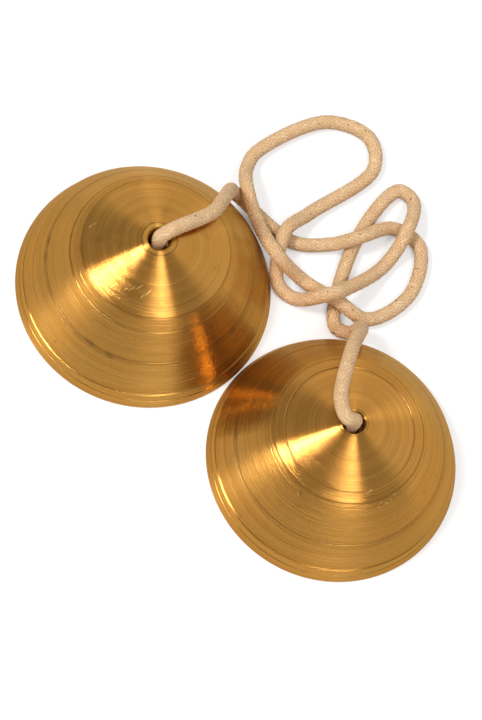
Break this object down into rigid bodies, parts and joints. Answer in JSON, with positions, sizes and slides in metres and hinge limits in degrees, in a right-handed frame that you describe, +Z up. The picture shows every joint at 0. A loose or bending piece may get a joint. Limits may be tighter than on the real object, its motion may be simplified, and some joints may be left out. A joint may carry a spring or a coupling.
{
  "type": "pair of manjira cymbals",
  "caption": "Small domed brass hand cymbals joined by a soft cotton cord, struck together by hand to keep time.",
  "frame": {"origin": "on the table, midway between the outer edges of the two cymbals, in the line of their two bores", "axes": "+X from the left cymbal to the right one, +Y towards the side where the slack cord lies, +Z up, out of the crowns"},
  "size_m": [0.1218, 0.1008, 0.0332],
  "materials": {
    "turned_brass": "lathe-turned, lightly brushed, unlacquered",
    "cotton_cord": "braided cotton, slightly fuzzy"
  },
  "bodies": {
    "cord": {"cord": "cotton_cord"},
    "left_knot": {"left_neck": "cotton_cord", "left_knot": "cotton_cord"},
    "left_cymbal": {"left_cymbal": "turned_brass"},
    "right_knot": {"right_neck": "cotton_cord", "right_knot": "cotton_cord"},
    "right_cymbal": {"right_cymbal": "turned_brass"}
  },
  "joints": [
    {"name": "left_swing", "type": "hinge", "parent": "cord", "child": "left_knot", "pos_m": [-0.03064, -0.00152, 0.0335], "axis": [-0.9517, 0.3069, 0], "range_deg": [0, 90]},
    {"name": "left_swivel", "type": "hinge", "parent": "left_knot", "child": "left_cymbal", "pos_m": [-0.03015, 0, 0.025], "axis": [0, 0, 1], "continuous": true},
    {"name": "right_swing", "type": "hinge", "parent": "cord", "child": "right_knot", "pos_m": [0.03241, -0.00052, 0.0319], "axis": [-0.3249, -0.9457, 0], "range_deg": [0, 90]},
    {"name": "right_swivel", "type": "hinge", "parent": "right_knot", "child": "right_cymbal", "pos_m": [0.0309, 0, 0.023], "axis": [0, 0, 1], "continuous": true}
  ]
}
